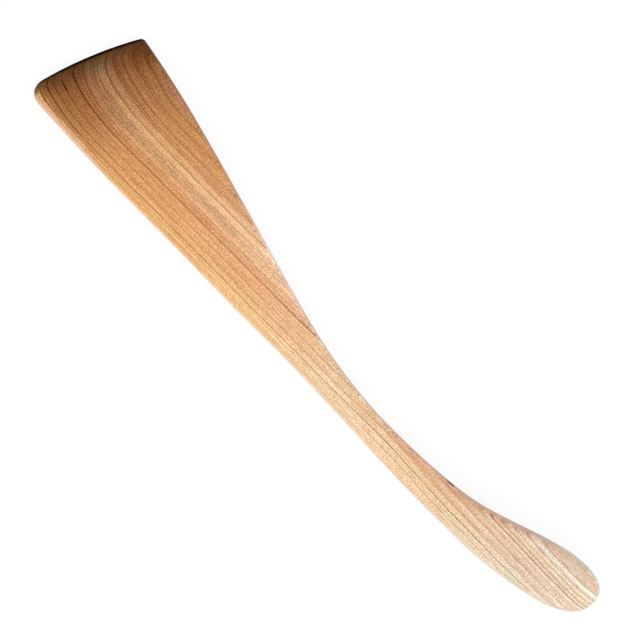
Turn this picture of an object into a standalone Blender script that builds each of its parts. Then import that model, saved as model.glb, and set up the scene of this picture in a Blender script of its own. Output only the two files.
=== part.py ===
"""Roux spoon: a one-piece wooden paddle, carved from a single board of cherry.

The spoon lies on its flat sole with its face up. +X runs from the working edge to the handle end,
+Y points to the hollow side of the handle's curve, and +Z is up. The origin is on the surface the
spoon lies on, under the middle of its length and width.
"""
import math

import bmesh
import bpy
import numpy

# Plan, seen from above. The length runs from the far corner, before it is rounded, to the handle end.
SPOON_LENGTH = 0.3534
BLADE_WIDTH = 0.0590
NECK_WIDTH = 0.0136
PALM_WIDTH = 0.0279
HANDLE_SWEEP = 0.0275
END_DOME_LENGTH = 0.0285

# Working edge: it slants, bows out a little, and has one wide and one tight corner
EDGE_SLANT = math.radians(21.0)
EDGE_BOW = 0.0016
FAR_CORNER_RADIUS = 0.0105
NEAR_CORNER_RADIUS = 0.0020
SLANT_FADE_LENGTH = 0.1100

# Thickness
EDGE_THICKNESS = 0.0011
BLADE_THICKNESS = 0.0100
NECK_THICKNESS = 0.0102
PALM_THICKNESS = 0.0119
FACE_CROWN = 0.0004

# The face falls to the working edge in a long bevel, then rolls over in a nose
BEVEL_LENGTH = 0.0400
BEVEL_DEPTH = 0.0050
NOSE_LENGTH = 0.0060
EDGE_EASE = 0.0005

# Rounding of the long edges. On the hollow side the face keeps a crisper edge, also at the palm
FACE_EDGE_RADIUS = 0.0036
SOLE_EDGE_RADIUS = 0.0026
HANDLE_EDGE_RADIUS = 0.0052
HOLLOW_EDGE_RADIUS = 0.0020
PALM_HOLLOW_RADIUS = 0.0044

# The handle rises off the surface towards its end, where its thickness is rounded over
HANDLE_LIFT = 0.0006
END_ROUND_LENGTH = 0.0100

# How full the rounded handle end is, seen from above: 2 is an ellipse, more is squarer
DOME_POWER = 2.45

# Places along the spoon, as shares of its length
NECK_PLACE_SHARE = 0.625
LIFT_START_SHARE = 0.600
ROUNDING_START_SHARE = 0.300
ROUNDING_END_SHARE = 0.600
PALM_ROUNDING_START_SHARE = 0.700
PALM_ROUNDING_END_SHARE = 0.850

# The widest line of the side, as a share of the thickness above the sole
RIM_LEVEL_SHARE = 0.45

# The widest rounding of a long edge, as a share of half the width
WIDEST_ROUNDING_SHARE = 0.82

# How full the rounded long edges are, seen in section: 2 is an ellipse, more leaves a flatter side
ROUNDING_POWER = 2.9
END_ROUNDING_POWER = 2.0

# Centre line: place along the spoon, share of the handle's sweep
CENTRE_LINE_SHARES = (
    (0.000, 0.000), (0.100, 0.135), (0.200, 0.300), (0.300, 0.480), (0.400, 0.670), (0.500, 0.845),
    (0.600, 0.965), (0.675, 1.000), (0.750, 0.985), (0.850, 0.835), (0.925, 0.615), (1.000, 0.470),
)
END_CENTRE_SHARE = 0.410

# Width: place along the spoon, share of the way from the neck's width to the blade's
BLADE_WIDTH_SHARES = (
    (0.000, 1.000), (0.100, 0.905), (0.200, 0.740), (0.300, 0.530), (0.400, 0.320), (0.500, 0.110),
    (0.560, 0.035), (0.625, 0.000),
)

# Width: place along the spoon, share of the way from the neck's width to the palm's
PALM_WIDTH_SHARES = (
    (0.625, 0.000), (0.700, 0.090), (0.750, 0.185), (0.800, 0.350), (0.850, 0.680), (0.900, 0.930),
    (0.940, 1.000), (1.000, 1.000),
)

# Thickness: place along the spoon, share of the way from the blade's thickness to the neck's
NECK_THICKNESS_SHARES = ((0.000, 0.000), (0.250, 0.000), (0.400, 0.240), (0.520, 0.760), (0.625, 1.000))

# Thickness: place along the spoon, share of the way from the neck's thickness to the palm's
PALM_THICKNESS_SHARES = (
    (0.625, 0.000), (0.680, 0.080), (0.720, 0.420), (0.760, 0.780), (0.810, 0.960), (0.900, 1.000),
    (1.000, 1.000),
)

# Colour of oiled cherry
CHERRY_COLOUR = (0.600, 0.320, 0.160, 1.0)
CHERRY_ROUGHNESS = 0.55

# Steps of the mesh
NOSE_STEPS = 6
BEVEL_STEPS = 7
BODY_STEPS = 44
DOME_STEPS = 10
ARC_STEPS = 6
FLAT_STEPS = 6


def clear_scene():
    """Remove whatever objects the scene holds."""
    for thing in list(bpy.data.objects):
        bpy.data.objects.remove(thing, do_unlink=True)


def smooth_curve(table):
    """Return a function that follows a natural cubic spline through the table's points."""
    places = numpy.array([row[0] for row in table])
    values = numpy.array([row[1] for row in table])
    gaps = numpy.diff(places)
    rises = numpy.diff(values) / gaps
    last = len(places) - 1
    system = numpy.eye(last + 1)
    bends = numpy.zeros(last + 1)
    for k in range(1, last):
        system[k, k - 1] = gaps[k - 1]
        system[k, k] = 2 * (gaps[k - 1] + gaps[k])
        system[k, k + 1] = gaps[k]
        bends[k] = 6 * (rises[k] - rises[k - 1])
    curvature = numpy.linalg.solve(system, bends)

    def value_at(place):
        k = min(max(int(numpy.searchsorted(places, place)) - 1, 0), last - 1)
        after = (place - places[k]) / gaps[k]
        before = 1 - after
        bend_before = (before ** 3 - before) * curvature[k]
        bend_after = (after ** 3 - after) * curvature[k + 1]
        straight = before * values[k] + after * values[k + 1]
        return float(straight + (bend_before + bend_after) * gaps[k] ** 2 / 6)

    return value_at


def ease(place, start, end):
    """Rise smoothly from 0 at start to 1 at end."""
    part = min(max((place - start) / (end - start), 0.0), 1.0)
    return part * part * (3 - 2 * part)


def quarter_round(share):
    """Height share of a quarter round, from 0 at its foot to 1 where it meets the flat."""
    return math.sqrt(max(0.0, 1 - (1 - min(share, 1.0)) ** 2))


centre_share = smooth_curve(CENTRE_LINE_SHARES)
blade_width_share = smooth_curve(BLADE_WIDTH_SHARES)
palm_width_share = smooth_curve(PALM_WIDTH_SHARES)
neck_thickness_share = smooth_curve(NECK_THICKNESS_SHARES)
palm_thickness_share = smooth_curve(PALM_THICKNESS_SHARES)

# How far the slanted edge runs along the spoon on either side of its middle
HALF_SLANT = BLADE_WIDTH / 2 * math.tan(EDGE_SLANT)


def width_at(place):
    """Width across the spoon, without the rounding of its two ends."""
    if place < NECK_PLACE_SHARE:
        return NECK_WIDTH + (BLADE_WIDTH - NECK_WIDTH) * blade_width_share(place)
    return NECK_WIDTH + (PALM_WIDTH - NECK_WIDTH) * palm_width_share(place)


def thickness_at(place):
    """Thickness through the spoon, without its bevel and its end dome."""
    if place < NECK_PLACE_SHARE:
        return BLADE_THICKNESS + (NECK_THICKNESS - BLADE_THICKNESS) * neck_thickness_share(place)
    return NECK_THICKNESS + (PALM_THICKNESS - NECK_THICKNESS) * palm_thickness_share(place)


def centre_at(place):
    """Sideways place of the centre line."""
    return -HANDLE_SWEEP * centre_share(place)


def dome_share(x):
    """Share of the full width that is left inside the rounded handle end."""
    into_dome = max(0.0, (x - (SPOON_LENGTH - END_DOME_LENGTH)) / END_DOME_LENGTH)
    return max(0.0, 1 - into_dome ** DOME_POWER) ** (1 / DOME_POWER)


def plan_point(x, side):
    """Sideways place of the outline at x, on the far side (-1) or the hollow side (+1)."""
    place = x / SPOON_LENGTH
    end_centre = -HANDLE_SWEEP * END_CENTRE_SHARE
    full = centre_at(place) + side * width_at(place) / 2
    return end_centre + (full - end_centre) * dome_share(x)


def corner_pull(distance, radius):
    """How far a rounded corner draws the outline in, at a distance from the working edge."""
    return radius * (1 - quarter_round(distance / radius))


def face_drop(distance):
    """Fall of the face at a distance from the working edge: the long bevel and the nose."""
    nose_height = BLADE_THICKNESS - BEVEL_DEPTH - EDGE_THICKNESS
    bevel = BEVEL_DEPTH * max(0.0, 1 - distance / BEVEL_LENGTH) ** 2
    return bevel + nose_height * (1 - quarter_round(distance / NOSE_LENGTH))


def heights_at(distance, place):
    """Levels of the sole and of the face at one section."""
    lift_part = max(0.0, (place - LIFT_START_SHARE) / (1 - LIFT_START_SHARE))
    sole = HANDLE_LIFT * lift_part ** 2
    face = sole + thickness_at(place) - face_drop(distance)
    edge_ease = min(EDGE_EASE, EDGE_THICKNESS / 2)
    sole += edge_ease * (1 - quarter_round(distance / edge_ease))
    middle = (sole + face) / 2
    end_round = quarter_round((1 - place) * SPOON_LENGTH / END_ROUND_LENGTH)
    return middle + (sole - middle) * end_round, middle + (face - middle) * end_round


def edge_arc(power):
    """Shares of a rounded edge: how far out towards the rim, and how far up to the flat."""
    shares = []
    for k in range(ARC_STEPS):
        angle = math.pi / 2 * k / ARC_STEPS
        shares.append((math.cos(angle) ** (2 / power), math.sin(angle) ** (2 / power)))
    return shares


def half_section(half_width, hollow_radius, far_radius, power, level, flat_level, crown):
    """Sideways place and height of the points from the hollow rim over the flat to the far rim."""
    widest = half_width * WIDEST_ROUNDING_SHARE
    hollow_reach = min(hollow_radius, widest)
    far_reach = min(far_radius, widest)
    hollow_flat = half_width - hollow_reach
    far_flat = far_reach - half_width
    outline = []
    for outward, rise in edge_arc(power):
        outline.append((hollow_flat + hollow_reach * outward, rise))
    for k in range(FLAT_STEPS + 1):
        outline.append((hollow_flat + (far_flat - hollow_flat) * k / FLAT_STEPS, 1.0))
    for outward, rise in reversed(edge_arc(power)[1:]):
        outline.append((far_flat - far_reach * outward, rise))
    points = []
    for across, rise in outline:
        bulge = crown * (1 - (across / half_width) ** 2) * rise
        points.append((across, level + (flat_level - level) * rise + bulge))
    return points


def section(distance):
    """Points round one section, at a distance from the middle of the working edge."""
    fade = 1 - ease(distance, 0.0, SLANT_FADE_LENGTH)
    middle_x = HALF_SLANT + distance
    far_x = middle_x - HALF_SLANT * fade
    near_x = middle_x + HALF_SLANT * fade
    far_y = plan_point(far_x, -1)
    near_y = plan_point(near_x, 1)
    middle_y = (near_y + far_y) / 2
    slant = (near_x - far_x) / (near_y - far_y)
    far_y += corner_pull(distance, FAR_CORNER_RADIUS)
    near_y -= corner_pull(distance, NEAR_CORNER_RADIUS)

    place = middle_x / SPOON_LENGTH
    sole, face = heights_at(distance, place)
    rim = sole + (face - sole) * RIM_LEVEL_SHARE
    rounding = ease(place, ROUNDING_START_SHARE, ROUNDING_END_SHARE)
    palm_rounding = ease(place, PALM_ROUNDING_START_SHARE, PALM_ROUNDING_END_SHARE)
    far_radius = FACE_EDGE_RADIUS + (HANDLE_EDGE_RADIUS - FACE_EDGE_RADIUS) * rounding
    hollow_radius = HOLLOW_EDGE_RADIUS + (PALM_HOLLOW_RADIUS - HOLLOW_EDGE_RADIUS) * palm_rounding
    sole_radius = SOLE_EDGE_RADIUS + (HANDLE_EDGE_RADIUS - SOLE_EDGE_RADIUS) * rounding
    power = END_ROUNDING_POWER + (ROUNDING_POWER - END_ROUNDING_POWER) * dome_share(middle_x)

    half_width = (near_y - far_y) / 2
    centre_y = (near_y + far_y) / 2
    crown = FACE_CROWN * (face - rim) / BLADE_THICKNESS
    over = half_section(half_width, hollow_radius, far_radius, power, rim, face, crown)
    under = half_section(half_width, sole_radius, sole_radius, power, rim, sole, 0.0)
    under = [(-across, height) for across, height in under]

    points = []
    for across, height in over + under:
        y = centre_y + across
        bow = EDGE_BOW * (1 - (across / half_width) ** 2) * fade
        points.append((middle_x + slant * (y - middle_y) - bow, y, height))
    return points


def section_distances():
    """Distances of the sections from the working edge, closer together at both ends."""
    reach = SPOON_LENGTH - HALF_SLANT
    dome_start = reach - END_DOME_LENGTH
    distances = []
    for k in range(NOSE_STEPS):
        distances.append(NOSE_LENGTH * (1 - math.cos(math.pi / 2 * k / NOSE_STEPS)))
    for k in range(BEVEL_STEPS):
        distances.append(NOSE_LENGTH + (BEVEL_LENGTH - NOSE_LENGTH) * k / BEVEL_STEPS)
    for k in range(BODY_STEPS):
        distances.append(BEVEL_LENGTH + (dome_start - BEVEL_LENGTH) * k / BODY_STEPS)
    for k in range(DOME_STEPS):
        into_dome = math.sin(math.pi / 2 * k / DOME_STEPS) ** (2 / DOME_POWER)
        distances.append(dome_start + END_DOME_LENGTH * into_dome)
    return distances


def centre_on_origin(points):
    """Shift points sideways and along, so that the middle of their box is over the origin."""
    corners = numpy.array(points)
    middle = (corners.min(axis=0) + corners.max(axis=0)) / 2
    return [(x - middle[0], y - middle[1], z) for x, y, z in points]


def cherry_wood():
    """Material of the whole spoon."""
    material = bpy.data.materials.new("cherry_wood")
    material.use_nodes = True
    shader = material.node_tree.nodes["Principled BSDF"]
    shader.inputs["Base Color"].default_value = CHERRY_COLOUR
    shader.inputs["Roughness"].default_value = CHERRY_ROUGHNESS
    shader.inputs["Metallic"].default_value = 0.0
    return material


def spoon_body():
    """Loft the sections into one closed solid, from the working edge to the handle end."""
    sections = [section(distance) for distance in section_distances()]
    around = len(sections[0])
    end_sole, end_face = heights_at(SPOON_LENGTH, 1.0)
    end_point = (SPOON_LENGTH, plan_point(SPOON_LENGTH, 1), (end_sole + end_face) / 2)
    points = [point for ring in sections for point in ring] + [end_point]

    body = bmesh.new()
    vertices = [body.verts.new(point) for point in centre_on_origin(points)]
    for row in range(len(sections) - 1):
        for k in range(around):
            first = row * around + k
            second = row * around + (k + 1) % around
            body.faces.new((vertices[first], vertices[second], vertices[second + around],
                            vertices[first + around]))
    for k in range(around // 2):
        corners = []
        for index in (k, k + 1, around - k - 1, around - k):
            corner = vertices[index % around]
            if corner not in corners:
                corners.append(corner)
        body.faces.new(corners)
    last_ring = (len(sections) - 1) * around
    for k in range(around):
        body.faces.new((vertices[last_ring + k], vertices[last_ring + (k + 1) % around], vertices[-1]))
    bmesh.ops.recalc_face_normals(body, faces=body.faces)

    mesh = bpy.data.meshes.new("spoon_body")
    body.to_mesh(mesh)
    body.free()
    mesh.materials.append(cherry_wood())
    mesh.shade_smooth()
    spoon = bpy.data.objects.new("spoon_body", mesh)
    bpy.context.collection.objects.link(spoon)
    return spoon


def main():
    clear_scene()
    spoon_body()


main()
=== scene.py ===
"""Roux spoon: the finished wood, the light, the floor and the camera.

The spoon lies on its flat sole with its face up. +X runs from the working edge to the handle end,
+Y points to the hollow side of the handle's curve, and +Z is up. All sizes are in metres.
"""

import math
from types import SimpleNamespace

import bpy
import numpy
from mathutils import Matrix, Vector, noise


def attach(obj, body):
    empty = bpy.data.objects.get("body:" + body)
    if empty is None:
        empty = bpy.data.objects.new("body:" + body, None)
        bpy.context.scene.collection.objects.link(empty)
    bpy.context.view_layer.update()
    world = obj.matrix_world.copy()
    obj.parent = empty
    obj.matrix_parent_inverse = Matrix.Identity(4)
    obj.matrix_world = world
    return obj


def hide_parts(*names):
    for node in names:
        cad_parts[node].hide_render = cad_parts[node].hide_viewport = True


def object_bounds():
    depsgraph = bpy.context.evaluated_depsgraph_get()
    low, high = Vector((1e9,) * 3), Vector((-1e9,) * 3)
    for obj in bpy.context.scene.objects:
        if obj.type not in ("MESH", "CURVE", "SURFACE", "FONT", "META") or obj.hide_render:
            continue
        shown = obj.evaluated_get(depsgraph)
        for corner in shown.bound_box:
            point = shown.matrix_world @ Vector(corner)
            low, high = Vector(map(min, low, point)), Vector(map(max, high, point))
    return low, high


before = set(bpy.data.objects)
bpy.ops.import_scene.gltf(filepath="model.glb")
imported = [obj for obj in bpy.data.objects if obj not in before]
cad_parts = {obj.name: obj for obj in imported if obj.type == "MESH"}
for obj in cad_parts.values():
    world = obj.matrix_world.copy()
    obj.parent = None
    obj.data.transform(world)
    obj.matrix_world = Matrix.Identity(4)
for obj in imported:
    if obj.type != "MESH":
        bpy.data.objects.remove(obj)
cad_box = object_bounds()

SPOON_NODE = "spoon_body"

# Plan of the spoon, as in the solid. The length runs to the far corner before it is rounded.
SPOON_LENGTH = 0.3534
BLADE_WIDTH = 0.0590
NECK_WIDTH = 0.0136
PALM_WIDTH = 0.0279
HANDLE_SWEEP = 0.0275
END_DOME_LENGTH = 0.0285
EDGE_SLANT = math.radians(21.0)
EDGE_BOW = 0.0016
FAR_CORNER_RADIUS = 0.0105
NEAR_CORNER_RADIUS = 0.0020
SLANT_FADE_LENGTH = 0.1100

# Thickness of the spoon, the bevel and nose of its working edge, and its rounded long edges
EDGE_THICKNESS = 0.0011
BLADE_THICKNESS = 0.0100
NECK_THICKNESS = 0.0102
PALM_THICKNESS = 0.0119
FACE_CROWN = 0.0004
BEVEL_LENGTH = 0.0400
BEVEL_DEPTH = 0.0050
NOSE_LENGTH = 0.0060
EDGE_EASE = 0.0005
FACE_EDGE_RADIUS = 0.0036
SOLE_EDGE_RADIUS = 0.0026
HANDLE_EDGE_RADIUS = 0.0052
HOLLOW_EDGE_RADIUS = 0.0020
PALM_HOLLOW_RADIUS = 0.0044
HANDLE_LIFT = 0.0006
END_ROUND_LENGTH = 0.0100
DOME_POWER = 2.45
ROUNDING_POWER = 2.9
END_ROUNDING_POWER = 2.0

# Places and widths along the spoon, as shares
NECK_PLACE_SHARE = 0.625
LIFT_START_SHARE = 0.600
ROUNDING_START_SHARE = 0.300
ROUNDING_END_SHARE = 0.600
PALM_ROUNDING_START_SHARE = 0.700
PALM_ROUNDING_END_SHARE = 0.850
RIM_LEVEL_SHARE = 0.45
WIDEST_ROUNDING_SHARE = 0.82
END_CENTRE_SHARE = 0.410
CENTRE_LINE_SHARES = (
    (0.000, 0.000), (0.100, 0.135), (0.200, 0.300), (0.300, 0.480), (0.400, 0.670), (0.500, 0.845),
    (0.600, 0.965), (0.675, 1.000), (0.750, 0.985), (0.850, 0.835), (0.925, 0.615), (1.000, 0.470),
)
BLADE_WIDTH_SHARES = (
    (0.000, 1.000), (0.100, 0.905), (0.200, 0.740), (0.300, 0.530), (0.400, 0.320), (0.500, 0.110),
    (0.560, 0.035), (0.625, 0.000),
)
PALM_WIDTH_SHARES = (
    (0.625, 0.000), (0.700, 0.090), (0.750, 0.185), (0.800, 0.350), (0.850, 0.680), (0.900, 0.930),
    (0.940, 1.000), (1.000, 1.000),
)
NECK_THICKNESS_SHARES = ((0.000, 0.000), (0.250, 0.000), (0.400, 0.240), (0.520, 0.760), (0.625, 1.000))
PALM_THICKNESS_SHARES = (
    (0.625, 0.000), (0.680, 0.080), (0.720, 0.420), (0.760, 0.780), (0.810, 0.960), (0.900, 1.000),
    (1.000, 1.000),
)

# Steps of the fine mesh
NOSE_STEPS = 24
BEVEL_STEPS = 40
BODY_STEPS = 250
DOME_STEPS = 36
ARC_STEPS = 14
FLAT_STEPS = 28

# The face is carved by hand: long shallow hollows, cut into the solid's surface and never out of it
CARVING_DEPTH = 0.00012
CARVING_LENGTH = 0.0260
CARVING_WIDTH = 0.0090

# Growth rings: round the pith, which lay above the face on the hollow side
PITH_SIDE = 0.045
PITH_HEIGHT = 0.080
FACE_LEVEL = 0.0100
RING_WAVE = 0.00034
RING_WAVE_LENGTH = 0.0240
RING_WAVE_WIDTH = 0.0120

# Slow bends of the rings: the middle of each, how far it reaches, and how far it shifts the rings
RING_BENDS = (
    ((-0.1335, 0.0130, 0.0080), (0.0260, 0.0260, 0.0500), -0.00125),
    ((-0.1500, 0.0240, 0.0060), (0.0160, 0.0120, 0.0500), 0.00210),
    ((-0.1625, 0.0060, 0.0040), (0.0075, 0.0150, 0.0500), -0.00100),
    ((0.1560, -0.0090, 0.0120), (0.0600, 0.0300, 0.0500), 0.00070),
)

# Lines of the growth rings on the blade and neck: sideways place on the level face, and darkness
BLADE_LINES = (
    (-0.0445, 0.50), (-0.0418, 0.30), (-0.0390, 0.55), (-0.0365, 0.35), (-0.0340, 0.60), (-0.0310, 0.35),
    (-0.0285, 0.50), (-0.0267, 0.25), (-0.0249, 0.42), (-0.0235, 0.25), (-0.0217, 0.66), (-0.0202, 0.20),
    (-0.0188, 0.42), (-0.0167, 0.12), (-0.0152, 0.46), (-0.0132, 0.10), (-0.0122, 0.10), (-0.0103, 0.76),
    (-0.0084, 0.24), (-0.0069, 0.40), (-0.0044, 0.22), (-0.0030, 0.20), (-0.0014, 0.36), (0.0019, 0.56),
    (0.0053, 0.50), (0.0062, 0.46), (0.0087, 0.44), (0.0115, 0.25), (0.0130, 0.45), (0.0139, 0.35),
    (0.0152, 0.15), (0.0176, 0.44), (0.0203, 0.25), (0.0240, 0.35),
)

# Lines of the growth rings on the handle
HANDLE_LINES = (
    (-0.0440, 0.50), (-0.0415, 0.30), (-0.0387, 0.50), (-0.0360, 0.35), (-0.0338, 0.60), (-0.0310, 0.40),
    (-0.0285, 0.25), (-0.0267, 0.20), (-0.0246, 0.55), (-0.0231, 0.20), (-0.0214, 0.78), (-0.0202, 0.15),
    (-0.0183, 0.45), (-0.0172, 0.20), (-0.0141, 0.50), (-0.0110, 0.12), (-0.0088, 0.84), (-0.0070, 0.60),
    (-0.0047, 0.45), (-0.0026, 0.30), (0.0007, 0.52), (0.0020, 0.22), (0.0031, 0.18),
)

# Each ring line has a sharp dark front, a core and a fainter band of latewood behind it
LINE_FRONT_WIDTH = 0.00045
LINE_CORE_WIDTH = 0.00040
LATEWOOD_WIDTH = 0.00100
LATEWOOD_SHARE = 0.26
LINES_PER_RAMP = 7
RING_TINT = (0.34, 0.12, 0.01, 1.0)

# The lines are darkest near the working edge and grow fainter towards the handle
LINE_FADE_START = 0.0080
LINE_FADE_END = 0.0550
TIP_LINE_SHARE = 1.60
HANDLE_LINE_SHARE = 1.00

# Light and dark bands of the wood on the blade and neck: sideways place on the level face, and tint
BLADE_TINTS = (
    (-0.0450, (0.95, 0.95, 0.90)), (-0.0330, (1.05, 1.10, 1.05)), (-0.0260, (1.05, 1.10, 1.00)),
    (-0.0244, (1.15, 1.40, 1.40)), (-0.0228, (1.00, 1.10, 1.05)), (-0.0207, (1.10, 1.20, 1.20)),
    (-0.0192, (1.00, 1.05, 1.00)), (-0.0177, (0.95, 0.95, 0.90)), (-0.0160, (1.00, 1.05, 1.05)),
    (-0.0135, (0.95, 0.95, 0.90)), (-0.0097, (0.95, 0.95, 0.95)), (-0.0080, (0.90, 0.90, 0.95)),
    (-0.0060, (1.05, 1.15, 1.30)), (-0.0030, (0.95, 1.05, 1.25)), (-0.0014, (1.05, 1.20, 1.40)),
    (0.0006, (1.05, 1.30, 1.55)), (0.0033, (1.00, 1.15, 1.35)), (0.0048, (0.90, 0.95, 1.05)),
    (0.0060, (1.00, 1.05, 1.10)), (0.0070, (0.85, 0.85, 0.85)), (0.0150, (0.85, 0.85, 0.80)),
    (0.0175, (0.75, 0.75, 0.65)), (0.0198, (0.80, 0.80, 0.90)), (0.0240, (0.85, 0.85, 0.95)),
)

# Light and dark bands of the wood on the handle
HANDLE_TINTS = (
    (-0.0450, (0.95, 0.90, 0.90)), (-0.0330, (1.05, 1.05, 1.05)), (-0.0281, (1.15, 1.20, 1.30)),
    (-0.0258, (1.05, 1.15, 1.20)), (-0.0207, (1.05, 1.15, 1.15)), (-0.0188, (1.05, 1.05, 1.05)),
    (-0.0175, (0.95, 0.90, 0.90)), (-0.0149, (1.00, 1.00, 1.00)), (-0.0137, (1.00, 0.90, 0.90)),
    (-0.0106, (0.90, 0.90, 0.85)), (-0.0095, (1.10, 1.05, 1.10)), (-0.0080, (1.05, 1.00, 1.00)),
    (-0.0062, (1.00, 1.00, 0.95)), (-0.0034, (1.05, 1.05, 1.05)), (-0.0023, (0.95, 0.85, 0.85)),
    (-0.0009, (1.00, 1.20, 1.30)), (0.0009, (0.95, 0.90, 0.90)), (0.0041, (0.90, 0.80, 0.80)),
)

# Where the pattern of the blade and neck goes over into that of the handle
HANDLE_PATTERN_START = 0.1850
HANDLE_PATTERN_END = 0.2250

# Colour of the wood along the spoon: distance from the working edge, and the colour. Towards the working
# edge it is the wood's darker tone together with painted shade of the bevel and nose; towards the handle
# end it is paler wood together with painted light
LENGTH_TONE_AND_SHADE = (
    (0.000, (0.03, 0.01, 0.00)), (0.002, (0.13, 0.05, 0.01)), (0.006, (0.18, 0.07, 0.02)),
    (0.012, (0.33, 0.13, 0.04)), (0.018, (0.41, 0.17, 0.06)), (0.030, (0.52, 0.23, 0.09)),
    (0.046, (0.66, 0.31, 0.12)), (0.070, (0.75, 0.36, 0.15)), (0.110, (0.80, 0.42, 0.20)),
    (0.145, (0.84, 0.48, 0.26)), (0.187, (0.81, 0.54, 0.35)), (0.235, (0.81, 0.53, 0.32)),
    (0.260, (0.77, 0.52, 0.33)), (0.290, (0.77, 0.58, 0.41)), (0.305, (0.75, 0.58, 0.43)),
    (0.322, (0.76, 0.63, 0.48)), (0.340, (0.78, 0.65, 0.49)),
)

# Lighter and darker patches near the working edge: the middle of each, how far it reaches, and its tint.
# The first, bright one at the far corner is painted light on that corner; the others are patches in the
# wood
TIP_TONE_AND_LIGHT_PATCHES = (
    ((-0.1715, -0.0235, 0.0050), (0.0150, 0.0120, 0.0500), (1.55, 1.60, 1.70, 1.0)),
    ((-0.1495, 0.0245, 0.0050), (0.0090, 0.0090, 0.0500), (0.85, 0.70, 0.45, 1.0)),
    ((-0.1605, 0.0055, 0.0050), (0.0100, 0.0070, 0.0500), (1.05, 1.25, 1.75, 1.0)),
    ((-0.1580, 0.0225, 0.0050), (0.0080, 0.0140, 0.0500), (1.30, 1.35, 1.50, 1.0)),
    ((-0.1510, -0.0120, 0.0050), (0.0240, 0.0140, 0.0500), (0.90, 0.85, 0.75, 1.0)),
)

# Painted light along each long edge, which lightens the rims: distance from the working edge, and tint at
# the rim itself
FAR_RIM_LIGHT_WIDTH = 0.0018
FAR_RIM_LIGHT_TINTS = (
    (0.012, (1.20, 1.55, 2.00)), (0.037, (1.20, 1.55, 2.10)), (0.057, (1.50, 2.00, 3.00)),
    (0.104, (1.30, 1.60, 2.20)), (0.131, (1.25, 1.60, 2.00)), (0.187, (1.20, 1.35, 1.55)),
    (0.290, (1.15, 1.25, 1.35)), (0.311, (1.10, 1.00, 1.10)),
)
HOLLOW_RIM_LIGHT_WIDTH = 0.0019
HOLLOW_RIM_LIGHT_TINTS = (
    (0.012, (1.05, 1.10, 1.45)), (0.026, (1.15, 1.20, 1.45)), (0.090, (1.10, 1.25, 1.65)),
    (0.118, (1.35, 1.55, 2.00)), (0.173, (1.20, 1.40, 1.70)), (0.200, (1.20, 1.25, 1.40)),
    (0.258, (1.25, 1.30, 1.40)), (0.280, (1.15, 1.20, 1.30)),
)
RIM_LIGHT_CORE_SHARE = 0.15

# Right at both long edges of the face the wood is plainer, without ring lines
RIM_PLAIN_CORE = 0.0003
RIM_PLAIN_WIDTH = 0.0016

# The ring lines come back on the upright sides: upward part of the surface's direction
SIDE_UPWARD = 0.0
FACE_UPWARD = 0.30

# Near the working edge the far edge is painted pale: a painted highlight on its rounded rim
FAR_EDGE_HIGHLIGHT_COLOUR = (0.84, 0.48, 0.26, 1.0)
FAR_EDGE_HIGHLIGHT_CORE = 0.0023
FAR_EDGE_HIGHLIGHT_WIDTH = 0.0034
FAR_EDGE_HIGHLIGHT_START = 0.0035
FAR_EDGE_HIGHLIGHT_FULL = 0.0080
FAR_EDGE_HIGHLIGHT_FADE_START = 0.0340
FAR_EDGE_HIGHLIGHT_FADE_END = 0.0560

# The palm's slope on the hollow side is darker with painted shade, and near its rim without bands and ring
# lines
PALM_SHADE_CORE = 0.0028
PALM_SHADE_WIDTH = 0.0046
PALM_SHADE_TINT = (0.87, 0.80, 0.79, 1.0)
PALM_PLAIN_CORE = 0.0006
PALM_PLAIN_WIDTH = 0.0026
PALM_PLAIN_TINT = (1.00, 0.97, 0.96, 1.0)
PALM_START = 0.2050
PALM_FULL = 0.2400
PALM_SHADE_FADE_START = 0.2960
PALM_SHADE_FADE_END = 0.3180

# Near the handle end the rings stay level, so that their lines run straight to the end
PALM_RING_LEVEL = 0.0125
END_GRAIN_START = 0.3180
END_GRAIN_FULL = 0.3400
END_GRAIN_SHARE = 0.85

# The working edge is near black and rough along its end grain; the near black is partly the darker end
# grain and partly painted shade of the edge
EDGE_BAND_WIDTH = 0.0010
EDGE_BAND_FADE = 0.0016
EDGE_GRAIN_AND_SHADE_COLOUR = (0.006, 0.002, 0.001, 1.0)
EDGE_ROUGH_FADE = 0.0032

# A slim gum fleck at the tip, which follows a growth ring: along the spoon and across the rings
GUM_FLECK_PLACE = (-0.1649, -0.0150, 0.0)
GUM_FLECK_RADII = (0.0040, 0.0007, 0.0300)

# A gum pocket in the hollow edge of the neck
GUM_POCKET_PLACE = (0.0895, -0.0143, 0.0094)
GUM_POCKET_RADII = (0.0044, 0.0014, 0.0024)

# Colour of the gum in both marks, and how they fade at their borders
GUM_COLOUR = (0.055, 0.013, 0.002, 1.0)
GUM_SHARE = 0.93
GUM_START = 0.10
GUM_FULL = 0.60

# Texture of the wood: length along the grain, width across it, and strength in each colour
FIBRE_SOFTNESS = 0.14
FLECK_LENGTH = 0.0009
FLECK_WIDTH = 0.00026
FLECK_STRENGTHS = (0.24, 0.29, 0.37)
FIBRE_LENGTH = 0.0060
FIBRE_WIDTH = 0.00018
FIBRE_STRENGTHS = (0.12, 0.15, 0.19)
VEIN_LENGTH = 0.0300
VEIN_WIDTH = 0.00026
VEIN_STRENGTHS = (0.09, 0.11, 0.14)
BLOTCH_LENGTH = 0.0300
BLOTCH_WIDTH = 0.0040
BLOTCH_DETAIL = 2.0
BLOTCH_STRENGTHS = (0.03, 0.04, 0.05)
FLUSH_LENGTH = 0.0160
FLUSH_WIDTH = 0.0013
FLUSH_STRENGTHS = (-0.03, 0.07, 0.09)

# The texture is fainter on the palm's hollow slope, at the handle end and right at the long edges
SLOPE_TEXTURE_CORE = 0.0030
SLOPE_TEXTURE_WIDTH = 0.0060
END_TEXTURE_START = 0.3300
END_TEXTURE_FULL = 0.3420
FAINT_TEXTURE_SHARE = 0.65

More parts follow.
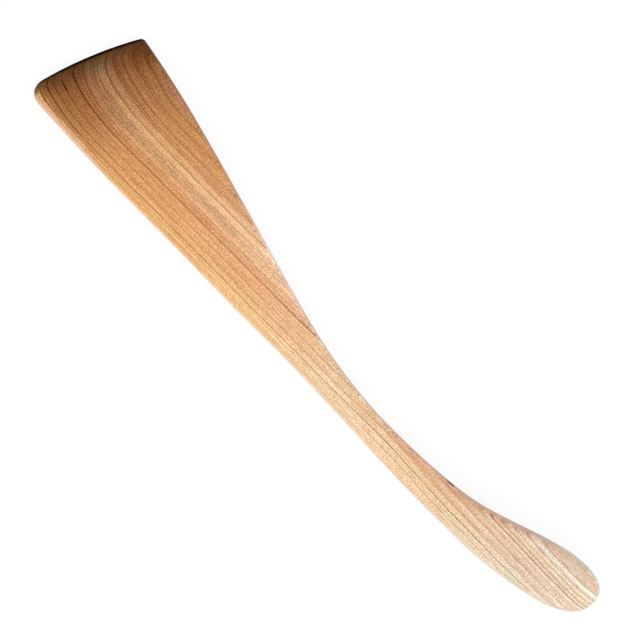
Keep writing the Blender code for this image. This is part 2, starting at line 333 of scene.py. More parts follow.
# Grey-green mineral streak that runs down the middle of the blade
STREAK_SIDE = -0.0033
STREAK_CORE = 0.0010
STREAK_HALF_WIDTH = 0.0031
STREAK_START = 0.0120
STREAK_FULL = 0.0300
STREAK_END = 0.1150
STREAK_FADE = 0.0350
STREAK_SPECK_LENGTH = 0.0022
STREAK_SPECK_WIDTH = 0.0010
STREAK_SPECK_START = 0.35
STREAK_SPECK_FULL = 0.65
STREAK_TINT = (0.78, 0.85, 0.91, 1.0)

# Finish of the wood
WOOD_ROUGHNESS = 0.52
ROUGHNESS_CHANGE = 0.16
WOOD_SHEEN_LEVEL = 0.08
GRAIN_RELIEF = 0.00003
RING_RELIEF = 0.00003

# Camera: the photograph is 640 pixels square and shows the spoon from straight above
IMAGE_PIXELS = 640
SPOON_PIXELS = 760
SPOON_CENTRE_PIXEL = (334.45, 323.05)
SPOON_TURN = math.radians(45)
CAMERA_HEIGHT = 4.000
SENSOR_WIDTH_MM = 36.0

# Light: a plain sky all round and one long soft lamp past the handle end, a little to the far side
SKY_STRENGTH = 0.95
LAMP_DISTANCE = 1.300
LAMP_TILT = math.radians(60)
LAMP_TURN = math.radians(-25)
LAMP_WIDTH = 1.100
LAMP_DEPTH = 0.600
LAMP_POWER = 6.5
LAMP_COLOUR = (1.0, 0.985, 0.96)

# Floor
FLOOR_WIDTH = 16.0
FLOOR_COLOUR = (0.16, 0.16, 0.16, 1.0)
FLOOR_GLOW = 0.85

# White of the sky and of the floor's glow
WHITE = (1.0, 1.0, 1.0, 1.0)

# First input, second input and output of a Mix node, for numbers and for colours
MIX_NUMBER_SOCKETS = (2, 3, 0)
MIX_COLOUR_SOCKETS = (6, 7, 2)


def smooth_curve(table):
    """Return a function that follows a natural cubic spline through the table's points."""
    places = numpy.array([row[0] for row in table])
    values = numpy.array([row[1] for row in table])
    gaps = numpy.diff(places)
    rises = numpy.diff(values) / gaps
    last = len(places) - 1
    system = numpy.eye(last + 1)
    bends = numpy.zeros(last + 1)
    for k in range(1, last):
        system[k, k - 1] = gaps[k - 1]
        system[k, k] = 2 * (gaps[k - 1] + gaps[k])
        system[k, k + 1] = gaps[k]
        bends[k] = 6 * (rises[k] - rises[k - 1])
    curvature = numpy.linalg.solve(system, bends)

    def value_at(place):
        k = min(max(int(numpy.searchsorted(places, place)) - 1, 0), last - 1)
        after = (place - places[k]) / gaps[k]
        before = 1 - after
        bend_before = (before ** 3 - before) * curvature[k]
        bend_after = (after ** 3 - after) * curvature[k + 1]
        straight = before * values[k] + after * values[k + 1]
        return float(straight + (bend_before + bend_after) * gaps[k] ** 2 / 6)

    return value_at


def ease(place, start, end):
    """Rise smoothly from 0 at start to 1 at end."""
    part = min(max((place - start) / (end - start), 0.0), 1.0)
    return part * part * (3 - 2 * part)


def quarter_round(share):
    """Height share of a quarter round, from 0 at its foot to 1 where it meets the flat."""
    return math.sqrt(max(0.0, 1 - (1 - min(share, 1.0)) ** 2))


centre_share = smooth_curve(CENTRE_LINE_SHARES)
blade_width_share = smooth_curve(BLADE_WIDTH_SHARES)
palm_width_share = smooth_curve(PALM_WIDTH_SHARES)
neck_thickness_share = smooth_curve(NECK_THICKNESS_SHARES)
palm_thickness_share = smooth_curve(PALM_THICKNESS_SHARES)

# How far the slanted edge runs along the spoon on either side of its middle
HALF_SLANT = BLADE_WIDTH / 2 * math.tan(EDGE_SLANT)


def width_at(place):
    """Width across the spoon, without the rounding of its two ends."""
    if place < NECK_PLACE_SHARE:
        return NECK_WIDTH + (BLADE_WIDTH - NECK_WIDTH) * blade_width_share(place)
    return NECK_WIDTH + (PALM_WIDTH - NECK_WIDTH) * palm_width_share(place)


def thickness_at(place):
    """Thickness through the spoon, without its bevel and its end dome."""
    if place < NECK_PLACE_SHARE:
        return BLADE_THICKNESS + (NECK_THICKNESS - BLADE_THICKNESS) * neck_thickness_share(place)
    return NECK_THICKNESS + (PALM_THICKNESS - NECK_THICKNESS) * palm_thickness_share(place)


def centre_at(place):
    """Sideways place of the centre line."""
    return -HANDLE_SWEEP * centre_share(place)


def dome_share(x):
    """Share of the full width that is left inside the rounded handle end."""
    into_dome = max(0.0, (x - (SPOON_LENGTH - END_DOME_LENGTH)) / END_DOME_LENGTH)
    return max(0.0, 1 - into_dome ** DOME_POWER) ** (1 / DOME_POWER)


def plan_point(x, side):
    """Sideways place of the outline at x, on the far side (-1) or the hollow side (+1)."""
    place = x / SPOON_LENGTH
    end_centre = -HANDLE_SWEEP * END_CENTRE_SHARE
    full = centre_at(place) + side * width_at(place) / 2
    return end_centre + (full - end_centre) * dome_share(x)


def corner_pull(distance, radius):
    """How far a rounded corner draws the outline in, at a distance from the working edge."""
    return radius * (1 - quarter_round(distance / radius))


def face_drop(distance):
    """Fall of the face at a distance from the working edge: the long bevel and the nose."""
    nose_height = BLADE_THICKNESS - BEVEL_DEPTH - EDGE_THICKNESS
    bevel = BEVEL_DEPTH * max(0.0, 1 - distance / BEVEL_LENGTH) ** 2
    return bevel + nose_height * (1 - quarter_round(distance / NOSE_LENGTH))


def heights_at(distance, place):
    """Levels of the sole and of the face at one section."""
    lift_part = max(0.0, (place - LIFT_START_SHARE) / (1 - LIFT_START_SHARE))
    sole = HANDLE_LIFT * lift_part ** 2
    face = sole + thickness_at(place) - face_drop(distance)
    edge_ease = min(EDGE_EASE, EDGE_THICKNESS / 2)
    sole += edge_ease * (1 - quarter_round(distance / edge_ease))
    middle = (sole + face) / 2
    end_round = quarter_round((1 - place) * SPOON_LENGTH / END_ROUND_LENGTH)
    return middle + (sole - middle) * end_round, middle + (face - middle) * end_round


def edge_arc(power):
    """Shares of a rounded edge: how far out towards the rim, and how far up to the flat."""
    shares = []
    for k in range(ARC_STEPS):
        angle = math.pi / 2 * k / ARC_STEPS
        shares.append((math.cos(angle) ** (2 / power), math.sin(angle) ** (2 / power)))
    return shares


def half_section(half_width, hollow_radius, far_radius, power, level, flat_level, crown):
    """Sideways place and height of the points from the hollow rim over the flat to the far rim."""
    widest = half_width * WIDEST_ROUNDING_SHARE
    hollow_reach = min(hollow_radius, widest)
    far_reach = min(far_radius, widest)
    hollow_flat = half_width - hollow_reach
    far_flat = far_reach - half_width
    outline = []
    for outward, rise in edge_arc(power):
        outline.append((hollow_flat + hollow_reach * outward, rise))
    for k in range(FLAT_STEPS + 1):
        outline.append((hollow_flat + (far_flat - hollow_flat) * k / FLAT_STEPS, 1.0))
    for outward, rise in reversed(edge_arc(power)[1:]):
        outline.append((far_flat - far_reach * outward, rise))
    points = []
    for across, rise in outline:
        bulge = crown * (1 - (across / half_width) ** 2) * rise
        points.append((across, level + (flat_level - level) * rise + bulge))
    return points


def section(distance):
    """Points round one section, at a distance from the middle of the working edge."""
    fade = 1 - ease(distance, 0.0, SLANT_FADE_LENGTH)
    middle_x = HALF_SLANT + distance
    far_x = middle_x - HALF_SLANT * fade
    near_x = middle_x + HALF_SLANT * fade
    far_y = plan_point(far_x, -1)
    near_y = plan_point(near_x, 1)
    middle_y = (near_y + far_y) / 2
    slant = (near_x - far_x) / (near_y - far_y)
    far_y += corner_pull(distance, FAR_CORNER_RADIUS)
    near_y -= corner_pull(distance, NEAR_CORNER_RADIUS)

    place = middle_x / SPOON_LENGTH
    sole, face = heights_at(distance, place)
    rim = sole + (face - sole) * RIM_LEVEL_SHARE
    rounding = ease(place, ROUNDING_START_SHARE, ROUNDING_END_SHARE)
    palm_rounding = ease(place, PALM_ROUNDING_START_SHARE, PALM_ROUNDING_END_SHARE)
    far_radius = FACE_EDGE_RADIUS + (HANDLE_EDGE_RADIUS - FACE_EDGE_RADIUS) * rounding
    hollow_radius = HOLLOW_EDGE_RADIUS + (PALM_HOLLOW_RADIUS - HOLLOW_EDGE_RADIUS) * palm_rounding
    sole_radius = SOLE_EDGE_RADIUS + (HANDLE_EDGE_RADIUS - SOLE_EDGE_RADIUS) * rounding
    power = END_ROUNDING_POWER + (ROUNDING_POWER - END_ROUNDING_POWER) * dome_share(middle_x)

    half_width = (near_y - far_y) / 2
    centre_y = (near_y + far_y) / 2
    crown = FACE_CROWN * (face - rim) / BLADE_THICKNESS
    over = half_section(half_width, hollow_radius, far_radius, power, rim, face, crown)
    under = half_section(half_width, sole_radius, sole_radius, power, rim, sole, 0.0)
    under = [(-across, height) for across, height in under]

    points = []
    for across, height in over + under:
        y = centre_y + across
        bow = EDGE_BOW * (1 - (across / half_width) ** 2) * fade
        points.append((middle_x + slant * (y - middle_y) - bow, y, height))
    return points


def section_distances():
    """Distances of the sections from the working edge, closer together at both ends."""
    reach = SPOON_LENGTH - HALF_SLANT
    dome_start = reach - END_DOME_LENGTH
    distances = []
    for k in range(NOSE_STEPS):
        distances.append(NOSE_LENGTH * (1 - math.cos(math.pi / 2 * k / NOSE_STEPS)))
    for k in range(BEVEL_STEPS):
        distances.append(NOSE_LENGTH + (BEVEL_LENGTH - NOSE_LENGTH) * k / BEVEL_STEPS)
    for k in range(BODY_STEPS):
        distances.append(BEVEL_LENGTH + (dome_start - BEVEL_LENGTH) * k / BODY_STEPS)
    for k in range(DOME_STEPS):
        into_dome = math.sin(math.pi / 2 * k / DOME_STEPS) ** (2 / DOME_POWER)
        distances.append(dome_start + END_DOME_LENGTH * into_dome)
    return distances


def skin_faces(sections, around):
    """Faces of the skin: the rows between the sections, the blunt working edge and the closing fan."""
    faces = []
    for row in range(sections - 1):
        for k in range(around):
            first = row * around + k
            second = row * around + (k + 1) % around
            faces.append((first, second, second + around, first + around))
    for k in range(around // 2):
        corners = []
        for index in (k, k + 1, around - k - 1, around - k):
            if index % around not in corners:
                corners.append(index % around)
        faces.append(tuple(reversed(corners)))
    last_row = (sections - 1) * around
    end_point = sections * around
    for k in range(around):
        faces.append((last_row + k, last_row + (k + 1) % around, end_point))
    return faces


def keep_values(mesh, name, values):
    """Keep one value for each point of the mesh, for the material to read."""
    kept = mesh.attributes.new(name, "FLOAT", "POINT")
    kept.data.foreach_set("value", values)


def spoon_mesh():
    """Loft the fine mesh, centred like the solid, and keep each point's distances from the edges."""
    distances = section_distances()
    rings = [section(distance) for distance in distances]
    faces = skin_faces(len(rings), len(rings[0]))
    end_sole, end_face = heights_at(SPOON_LENGTH, 1.0)
    rings.append([(SPOON_LENGTH, plan_point(SPOON_LENGTH, 1), (end_sole + end_face) / 2)])
    points = numpy.array([point for ring in rings for point in ring])
    middle = (points.min(axis=0) + points.max(axis=0)) / 2
    points -= numpy.array([middle[0], middle[1], 0.0])

    edge_distance = []
    far_depth = []
    hollow_depth = []
    for distance, ring in zip(distances + [distances[-1]], rings):
        far_y = min(point[1] for point in ring)
        hollow_y = max(point[1] for point in ring)
        edge_distance += [distance] * len(ring)
        far_depth += [point[1] - far_y for point in ring]
        hollow_depth += [hollow_y - point[1] for point in ring]

    mesh = bpy.data.meshes.new("spoon_wood")
    mesh.from_pydata([tuple(point) for point in points], [], faces)
    mesh.validate()
    mesh.shade_smooth()
    keep_values(mesh, "edge_distance", edge_distance)
    keep_values(mesh, "far_depth", far_depth)
    keep_values(mesh, "hollow_depth", hollow_depth)
    return mesh


def carving(point):
    """Depth of the shallow hollows that the carver's blade left at a point."""
    place = Vector((point[0] / CARVING_LENGTH, point[1] / CARVING_WIDTH, point[2] / CARVING_WIDTH))
    return CARVING_DEPTH * (1 + noise.noise(place)) / 2


def carve(mesh):
    """Sink the points of the mesh into the solid by the carving, but leave the flat sole flat."""
    normals = [Vector(vertex.normal) for vertex in mesh.vertices]
    for vertex, normal in zip(mesh.vertices, normals):
        share = ease(normal.z, -1.0, 0.0)
        vertex.co -= normal * carving(vertex.co) * share


def kept_values(tree, name):
    """Read the values kept on the mesh under a name."""
    node = tree.nodes.new("ShaderNodeAttribute")
    node.attribute_name = name
    return node.outputs["Fac"]


def put(tree, socket, value):
    """Link a value to a socket if it is a socket itself, or else set it."""
    if isinstance(value, bpy.types.NodeSocket):
        tree.links.new(value, socket)
    else:
        socket.default_value = value


def number(tree, operation, *values):
    """Add a Math node and return its result."""
    node = tree.nodes.new("ShaderNodeMath")
    node.operation = operation
    for socket, value in zip(node.inputs, values):
        put(tree, socket, value)
    return node.outputs[0]


def vector(tree, operation, *values):
    """Add a Vector Math node and return its result, which is a number for a length."""
    node = tree.nodes.new("ShaderNodeVectorMath")
    node.operation = operation
    for socket, value in zip(node.inputs, values):
        put(tree, socket, value)
    return node.outputs["Value" if operation == "LENGTH" else "Vector"]


def parts_of(tree, value):
    """Split a vector into its X, Y and Z."""
    node = tree.nodes.new("ShaderNodeSeparateXYZ")
    tree.links.new(value, node.inputs[0])
    return node.outputs


def between(tree, value, start, end, low=0.0, high=1.0, interpolation="SMOOTHSTEP"):
    """Go from low to high as the value goes from start to end, smoothly unless told otherwise."""
    node = tree.nodes.new("ShaderNodeMapRange")
    node.interpolation_type = interpolation
    put(tree, node.inputs["Value"], value)
    node.inputs["From Min"].default_value = start
    node.inputs["From Max"].default_value = end
    node.inputs["To Min"].default_value = low
    node.inputs["To Max"].default_value = high
    return node.outputs["Result"]


def falling(tree, value, start, end):
    """Fall smoothly from 1 to 0 as the value goes from start to end."""
    return between(tree, value, start, end, 1.0, 0.0)


def mixed(tree, node, sockets, share, first, second):
    """Feed a Mix node its share and its two values, and return its result."""
    first_input, second_input, output = sockets
    put(tree, node.inputs[0], share)
    put(tree, node.inputs[first_input], first)
    put(tree, node.inputs[second_input], second)
    return node.outputs[output]


def blend(tree, share, first, second):
    """Mix two numbers by a share."""
    node = tree.nodes.new("ShaderNodeMix")
    return mixed(tree, node, MIX_NUMBER_SOCKETS, share, first, second)


def mix(tree, share, first, second, blend_type="MIX"):
    """Mix two colours by a share."""
    node = tree.nodes.new("ShaderNodeMix")
    node.data_type = "RGBA"
    node.blend_type = blend_type
    return mixed(tree, node, MIX_COLOUR_SOCKETS, share, first, second)


def tinted(tree, colour, tint, share=1.0):
    """Multiply a colour by a tint, by a share."""
    return mix(tree, share, colour, tint, "MULTIPLY")


def ramp(tree, value, stops):
    """Colour ramp over a value. Each stop is a place in metres and a colour."""
    start = stops[0][0]
    end = stops[-1][0]
    node = tree.nodes.new("ShaderNodeValToRGB")
    put(tree, node.inputs["Fac"], between(tree, value, start, end, interpolation="LINEAR"))
    elements = node.color_ramp.elements
    while len(elements) < len(stops):
        elements.new(1.0)
    for element, (place, colour) in zip(elements, stops):
        element.position = (place - start) / (end - start)
        element.color = (*colour, 1.0)
    return node.outputs["Color"]


def grain_noise(tree, place, length, width, detail=1.0, dimensions="2D"):
    """Noise drawn out along the grain, from about 0 to 1."""
    node = tree.nodes.new("ShaderNodeTexNoise")
    node.noise_dimensions = dimensions
    node.inputs["Scale"].default_value = 1.0
    node.inputs["Detail"].default_value = detail
    stretched = vector(tree, "MULTIPLY", place, (1 / length, 1 / width, 1 / width))
    tree.links.new(stretched, node.inputs["Vector"])
    return node.outputs["Fac"]


def fibres(tree, grain, length, width):
    """Strong grain noise, mostly near 0 or near 1."""
    plain_noise = grain_noise(tree, grain, length, width, 0.0)
    return between(tree, plain_noise, 0.5 - FIBRE_SOFTNESS, 0.5 + FIBRE_SOFTNESS)


def spot(tree, place, middle, radii):
    """1 in the middle of an egg-shaped spot, falling smoothly to 0 at its radii."""
    offset = vector(tree, "DIVIDE", vector(tree, "SUBTRACT", place, middle), radii)
    return falling(tree, vector(tree, "LENGTH", offset), 0.0, 1.0)


def ring_place(tree, place, distance):
    """Sideways place where the growth ring through a point meets the level face."""
    parts = parts_of(tree, place)
    side = number(tree, "SUBTRACT", PITH_SIDE, parts["Y"])
    level_share = between(tree, distance, END_GRAIN_START, END_GRAIN_FULL, 0.0, END_GRAIN_SHARE)
    height = blend(tree, level_share, parts["Z"], PALM_RING_LEVEL)
    depth = number(tree, "SUBTRACT", PITH_HEIGHT + FACE_LEVEL, height)
    side_square = number(tree, "MULTIPLY", side, side)
    depth_square = number(tree, "MULTIPLY_ADD", depth, depth, -PITH_HEIGHT ** 2)
    square = number(tree, "ADD", side_square, depth_square)
    root = number(tree, "SQRT", number(tree, "MAXIMUM", square, 0.0))
    ring = number(tree, "SUBTRACT", PITH_SIDE, root)
    wave = grain_noise(tree, place, RING_WAVE_LENGTH, RING_WAVE_WIDTH, dimensions="3D")
    wave = number(tree, "MULTIPLY_ADD", wave, 2 * RING_WAVE, -RING_WAVE)
    ring = number(tree, "ADD", ring, wave)
    for middle, radii, amount in RING_BENDS:
        ring = number(tree, "MULTIPLY_ADD", spot(tree, place, middle, radii), amount, ring)
    return ring


def grain_place(tree, place, ring):
    """Place in the grain: along the spoon, and across the growth rings."""
    joined = tree.nodes.new("ShaderNodeCombineXYZ")
    tree.links.new(parts_of(tree, place)["X"], joined.inputs["X"])
    tree.links.new(ring, joined.inputs["Y"])
    return joined.outputs[0]


def line_darkness(tree, ring, lines):
    """Darkness of a set of ring lines: sharp on their outer side, slowly rising on their inner side."""
    black = (0.0, 0.0, 0.0)
    total = 0.0
    for first in range(0, len(lines), LINES_PER_RAMP):
        group = lines[first:first + LINES_PER_RAMP]
        end = group[-1][0] + 2 * LATEWOOD_WIDTH
        stops = [(group[0][0] - LATEWOOD_WIDTH, black)]
        for k, (side, darkness) in enumerate(group):
            room = end - side
            if k + 1 < len(group):
                room = group[k + 1][0] - side - LINE_FRONT_WIDTH - LINE_CORE_WIDTH
            latewood = min(LATEWOOD_WIDTH, room)
            tail = darkness * LATEWOOD_SHARE
            stops.append((side - LINE_FRONT_WIDTH, black))
            stops.append((side, (darkness, darkness, darkness)))
            stops.append((side + LINE_CORE_WIDTH, (tail, tail, tail)))
            stops.append((side + LINE_CORE_WIDTH + latewood, black))
        stops.append((end, black))
        total = number(tree, "MAXIMUM", ramp(tree, ring, stops), total)
    return total


def rim_share(tree, depth):
    """1 right at a long edge, falling to 0 a little way in."""
    return falling(tree, depth, RIM_PLAIN_CORE, RIM_PLAIN_WIDTH)


def palm_slope(tree, at, core, width):
    """1 along the palm's rim on the hollow side as far in as the core, falling to 0 at the width."""
    along = between(tree, at.distance, PALM_START, PALM_FULL)
    across = falling(tree, at.hollow_depth, core, width)
    return number(tree, "MULTIPLY", along, across)


def ring_lines(tree, at, upward):
    """Darkness of the ring lines, which leave both long edges of the face free."""
    blade_lines = line_darkness(tree, at.ring, BLADE_LINES)
    handle_lines = line_darkness(tree, at.ring, HANDLE_LINES)
    lines = blend(tree, at.handle, blade_lines, handle_lines)
    strength = between(tree, at.distance, LINE_FADE_START, LINE_FADE_END, TIP_LINE_SHARE, HANDLE_LINE_SHARE)
    free = number(tree, "MAXIMUM", number(tree, "MULTIPLY", at.palm_rim, upward), at.rims)
    lines = number(tree, "MULTIPLY", lines, strength)
    return number(tree, "MULTIPLY", lines, number(tree, "SUBTRACT", 1.0, free))


def wood_values(tree):
    """What the colour and the finish read at each point: places, depths, grain and ring lines."""
    coordinates = tree.nodes.new("ShaderNodeTexCoord")
    at = SimpleNamespace(place=coordinates.outputs["Object"])
    at.distance = kept_values(tree, "edge_distance")
    at.far_depth = kept_values(tree, "far_depth")
    at.hollow_depth = kept_values(tree, "hollow_depth")
    at.handle = between(tree, at.distance, HANDLE_PATTERN_START, HANDLE_PATTERN_END)
    at.ring = ring_place(tree, at.place, at.distance)
    at.grain = grain_place(tree, at.place, at.ring)
    at.fibre = fibres(tree, at.grain, FIBRE_LENGTH, FIBRE_WIDTH)

    direction = parts_of(tree, coordinates.outputs["Normal"])
    upward = between(tree, direction["Z"], SIDE_UPWARD, FACE_UPWARD)
    rims = number(tree, "MAXIMUM", rim_share(tree, at.far_depth), rim_share(tree, at.hollow_depth))
    at.rims = number(tree, "MULTIPLY", rims, upward)
    at.palm_rim = palm_slope(tree, at, PALM_PLAIN_CORE, PALM_PLAIN_WIDTH)
    at.lines = ring_lines(tree, at, upward)
    return at


def far_edge_highlight_share(tree, at):
    """Share of the painted highlight on the far edge near the working edge."""
    start = between(tree, at.distance, FAR_EDGE_HIGHLIGHT_START, FAR_EDGE_HIGHLIGHT_FULL)
    end = falling(tree, at.distance, FAR_EDGE_HIGHLIGHT_FADE_START, FAR_EDGE_HIGHLIGHT_FADE_END)
    across = falling(tree, at.far_depth, FAR_EDGE_HIGHLIGHT_CORE, FAR_EDGE_HIGHLIGHT_WIDTH)
    return number(tree, "MULTIPLY", number(tree, "MULTIPLY", start, end), across)


def rim_lit(tree, colour, at, depth, width, tints):
    """Paint light onto the wood towards one long edge, by the depth inside it."""
    share = falling(tree, number(tree, "DIVIDE", depth, width), RIM_LIGHT_CORE_SHARE, 1.0)
    return tinted(tree, colour, ramp(tree, at.distance, tints), share)


def plain_colour(tree, at):
    """Colour of the wood along the spoon, with its bands, the painted shade of its palm slope, its patches,
    and the painted light along its edges.
    """
    blade_bands = ramp(tree, at.ring, BLADE_TINTS)
    handle_bands = ramp(tree, at.ring, HANDLE_TINTS)
    bands = mix(tree, at.handle, blade_bands, handle_bands)
    bands = mix(tree, at.palm_rim, bands, PALM_PLAIN_TINT)
    # The colour along the spoon holds painted shade at the working edge and painted light towards the
    # handle
    colour = tinted(tree, ramp(tree, at.distance, LENGTH_TONE_AND_SHADE), bands)

    # Painted shade on the palm's hollow slope
    shade = palm_slope(tree, at, PALM_SHADE_CORE, PALM_SHADE_WIDTH)
    shade_end = falling(tree, at.distance, PALM_SHADE_FADE_START, PALM_SHADE_FADE_END)
    colour = tinted(tree, colour, PALM_SHADE_TINT, number(tree, "MULTIPLY", shade, shade_end))
    # The first tip patch, at the far corner, is painted light
    for middle, radii, tint in TIP_TONE_AND_LIGHT_PATCHES:
        colour = tinted(tree, colour, tint, spot(tree, at.place, middle, radii))
    # Painted highlight on the far edge near the working edge
    colour = mix(tree, far_edge_highlight_share(tree, at), colour, FAR_EDGE_HIGHLIGHT_COLOUR)
    # Painted light along both long edges
    colour = rim_lit(tree, colour, at, at.far_depth, FAR_RIM_LIGHT_WIDTH, FAR_RIM_LIGHT_TINTS)
    return rim_lit(tree, colour, at, at.hollow_depth, HOLLOW_RIM_LIGHT_WIDTH, HOLLOW_RIM_LIGHT_TINTS)


def textured(tree, colour, value, strengths, share):
    """Brighten and darken a colour by noise round 0.5, with its own strength in each colour."""
    change = number(tree, "MULTIPLY", number(tree, "MULTIPLY_ADD", value, 2.0, -1.0), share)
    factor = vector(tree, "MULTIPLY_ADD", strengths, change, (1.0, 1.0, 1.0))
    return vector(tree, "MULTIPLY", colour, factor)


def with_texture(tree, colour, at):
    """Add blotches, flushes, veins, fibres and flecks to the colour."""
    slope = palm_slope(tree, at, SLOPE_TEXTURE_CORE, SLOPE_TEXTURE_WIDTH)
    end = between(tree, at.distance, END_TEXTURE_START, END_TEXTURE_FULL)
    faint = number(tree, "MAXIMUM", number(tree, "MAXIMUM", slope, end), at.rims)
    clear = blend(tree, faint, 1.0, FAINT_TEXTURE_SHARE)
    blotch = grain_noise(tree, at.grain, BLOTCH_LENGTH, BLOTCH_WIDTH, BLOTCH_DETAIL)
    flush = grain_noise(tree, at.grain, FLUSH_LENGTH, FLUSH_WIDTH)
    vein = fibres(tree, at.grain, VEIN_LENGTH, VEIN_WIDTH)
    fleck = fibres(tree, at.grain, FLECK_LENGTH, FLECK_WIDTH)
    colour = textured(tree, colour, blotch, BLOTCH_STRENGTHS, 1.0)
    colour = textured(tree, colour, flush, FLUSH_STRENGTHS, clear)
    colour = textured(tree, colour, vein, VEIN_STRENGTHS, clear)
    colour = textured(tree, colour, at.fibre, FIBRE_STRENGTHS, clear)
    return textured(tree, colour, fleck, FLECK_STRENGTHS, clear)


def mineral_streak(tree, at):
    """Share of the grey-green streak: fading, speckled dots down the blade."""
    offset = number(tree, "ABSOLUTE", number(tree, "SUBTRACT", at.ring, STREAK_SIDE))
    across = falling(tree, offset, STREAK_CORE, STREAK_HALF_WIDTH)
    start = between(tree, at.distance, STREAK_START, STREAK_FULL)
    end = falling(tree, at.distance, STREAK_END - STREAK_FADE, STREAK_END + STREAK_FADE)
    speck = grain_noise(tree, at.place, STREAK_SPECK_LENGTH, STREAK_SPECK_WIDTH, dimensions="3D")
    speck = between(tree, speck, STREAK_SPECK_START, STREAK_SPECK_FULL)
    along = number(tree, "MULTIPLY", end, start)
    return number(tree, "MULTIPLY", number(tree, "MULTIPLY", across, along), speck)


def with_marks(tree, colour, at):
    """Add the mineral streak, the ring lines, the gum marks and the near-black working edge, which is
    partly painted shade.
    """
    colour = tinted(tree, colour, STREAK_TINT, mineral_streak(tree, at))
    colour = tinted(tree, colour, RING_TINT, at.lines)
    gum_fleck = spot(tree, at.grain, GUM_FLECK_PLACE, GUM_FLECK_RADII)
    gum_pocket = spot(tree, at.place, GUM_POCKET_PLACE, GUM_POCKET_RADII)
    for mark in (gum_fleck, gum_pocket):
        share = between(tree, mark, GUM_START, GUM_FULL, 0.0, GUM_SHARE)
        colour = mix(tree, share, colour, GUM_COLOUR)
    # The near-black working edge is partly painted shade
    edge = falling(tree, at.distance, EDGE_BAND_WIDTH, EDGE_BAND_FADE)
    return mix(tree, edge, colour, EDGE_GRAIN_AND_SHADE_COLOUR)


def cherry_wood():
    """Oiled cherry, with its colour, which holds painted light and shade, its satin finish and fine relief.
    """
    material = bpy.data.materials.new("oiled_cherry")
    material.use_nodes = True
    tree = material.node_tree
    shader = tree.nodes["Principled BSDF"]
    at = wood_values(tree)
    colour = with_texture(tree, plain_colour(tree, at), at)
    tree.links.new(with_marks(tree, colour, at), shader.inputs["Base Color"])

    satin = number(tree, "MULTIPLY_ADD", at.fibre, ROUGHNESS_CHANGE, WOOD_ROUGHNESS - ROUGHNESS_CHANGE / 2)
    charred = falling(tree, at.distance, EDGE_BAND_WIDTH, EDGE_ROUGH_FADE)
    tree.links.new(number(tree, "MAXIMUM", satin, charred), shader.inputs["Roughness"])
    shader.inputs["Specular IOR Level"].default_value = WOOD_SHEEN_LEVEL
    height = number(tree, "MULTIPLY", at.fibre, GRAIN_RELIEF)
    height = number(tree, "MULTIPLY_ADD", at.lines, RING_RELIEF, height)
    bump = tree.nodes.new("ShaderNodeBump")
    bump.inputs["Distance"].default_value = 1.0
    tree.links.new(height, bump.inputs["Height"])
    tree.links.new(bump.outputs["Normal"], shader.inputs["Normal"])
    return material


def make_spoon():
    """The finished spoon, in the place of its solid."""
    mesh = spoon_mesh()
    carve(mesh)
    mesh.materials.append(cherry_wood())
    spoon = bpy.data.objects.new("spoon_wood", mesh)
    bpy.context.collection.objects.link(spoon)
    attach(spoon, "root")
    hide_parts(SPOON_NODE)


def seen_share(tree):
    """1 for rays that show the background itself: from the camera, a reflection or glass."""
    path = tree.nodes.new("ShaderNodeLightPath")
    seen = number(tree, "MAXIMUM", path.outputs["Is Camera Ray"], path.outputs["Is Glossy Ray"])
    return number(tree, "MAXIMUM", seen, path.outputs["Is Transmission Ray"])


def floor_material():
    """White where nothing shades it, and clear from below."""
    material = bpy.data.materials.new("pale_floor")
    material.use_nodes = True
    tree = material.node_tree
    shader = tree.nodes["Principled BSDF"]
    shader.inputs["Base Color"].default_value = FLOOR_COLOUR
    shader.inputs["Roughness"].default_value = 1.0
    shader.inputs["Specular IOR Level"].default_value = 0.0
    shader.inputs["Emission Color"].default_value = WHITE
    glow = number(tree, "MULTIPLY", seen_share(tree), FLOOR_GLOW)
    tree.links.new(glow, shader.inputs["Emission Strength"])
    clear = tree.nodes.new("ShaderNodeBsdfTransparent")
    below = tree.nodes.new("ShaderNodeNewGeometry").outputs["Backfacing"]
    both = tree.nodes.new("ShaderNodeMixShader")
    tree.links.new(below, both.inputs[0])
    tree.links.new(shader.outputs[0], both.inputs[1])
    tree.links.new(clear.outputs[0], both.inputs[2])
    tree.links.new(both.outputs[0], tree.nodes["Material Output"].inputs["Surface"])
    return material


def make_floor():
    """A wide pale floor under the spoon."""
    half = FLOOR_WIDTH / 2
    corners = [(-half, -half, 0.0), (half, -half, 0.0), (half, half, 0.0), (-half, half, 0.0)]
    mesh = bpy.data.meshes.new("floor")
    mesh.from_pydata(corners, [], [(0, 1, 2, 3)])
    mesh.materials.append(floor_material())
    floor = bpy.data.objects.new("floor", mesh)
    bpy.context.collection.objects.link(floor)


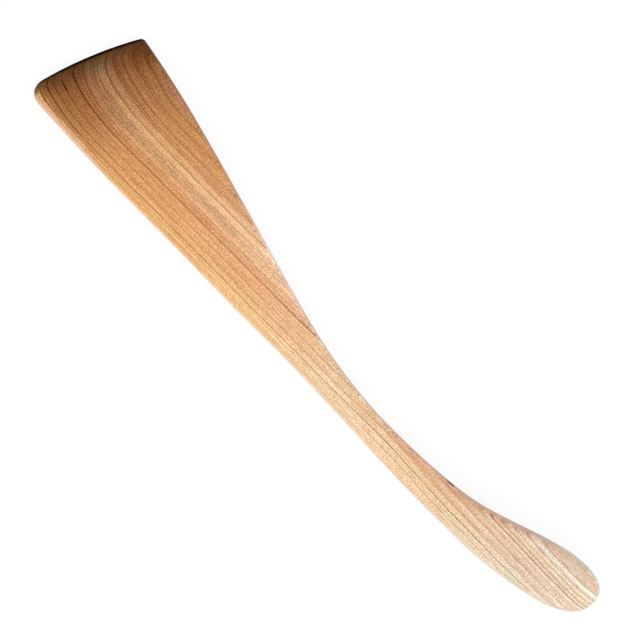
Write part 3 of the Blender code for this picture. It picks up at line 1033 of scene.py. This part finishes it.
def make_sky():
    """Plain light from all round, which the camera sees as white."""
    world = bpy.data.worlds.new("plain_sky")
    bpy.context.scene.world = world
    world.use_nodes = True
    tree = world.node_tree
    background = tree.nodes["Background"]
    background.inputs["Color"].default_value = WHITE
    strength = number(tree, "MULTIPLY_ADD", seen_share(tree), 1 - SKY_STRENGTH, SKY_STRENGTH)
    tree.links.new(strength, background.inputs["Strength"])


def make_lamp():
    """One long soft lamp past the handle end, turned to the spoon."""
    light = bpy.data.lights.new("long_lamp", "AREA")
    light.shape = "RECTANGLE"
    light.size = LAMP_WIDTH
    light.size_y = LAMP_DEPTH
    light.energy = LAMP_POWER
    light.color = LAMP_COLOUR
    lamp = bpy.data.objects.new("long_lamp", light)
    level = Vector((math.cos(LAMP_TURN), math.sin(LAMP_TURN), 0.0))
    up = Vector((0.0, 0.0, 1.0))
    lamp.location = LAMP_DISTANCE * (level * math.sin(LAMP_TILT) + up * math.cos(LAMP_TILT))
    lamp.rotation_euler = lamp.location.to_track_quat("Z", "Y").to_euler()
    bpy.context.collection.objects.link(lamp)


def make_camera():
    """Look straight down, with the spoon where the photograph has it."""
    pixel = (cad_box[1].x - cad_box[0].x) / SPOON_PIXELS
    right = Vector((math.cos(SPOON_TURN), math.sin(SPOON_TURN), 0.0))
    up = Vector((-math.sin(SPOON_TURN), math.cos(SPOON_TURN), 0.0))
    image_middle = (IMAGE_PIXELS - 1) / 2
    shift = right * (image_middle - SPOON_CENTRE_PIXEL[0]) + up * (SPOON_CENTRE_PIXEL[1] - image_middle)

    data = bpy.data.cameras.new("camera")
    data.sensor_width = SENSOR_WIDTH_MM
    data.lens = SENSOR_WIDTH_MM * CAMERA_HEIGHT / (pixel * IMAGE_PIXELS)
    camera = bpy.data.objects.new("camera", data)
    rim_level = BLADE_THICKNESS * RIM_LEVEL_SHARE
    camera.location = shift * pixel + Vector((0.0, 0.0, CAMERA_HEIGHT + rim_level))
    camera.rotation_euler = (0.0, 0.0, SPOON_TURN)
    bpy.context.collection.objects.link(camera)
    bpy.context.scene.camera = camera


def main():
    """Make the spoon, its surroundings and the camera."""
    bpy.context.scene.view_settings.view_transform = "Standard"
    make_spoon()
    make_floor()
    make_sky()
    make_lamp()
    make_camera()


main()
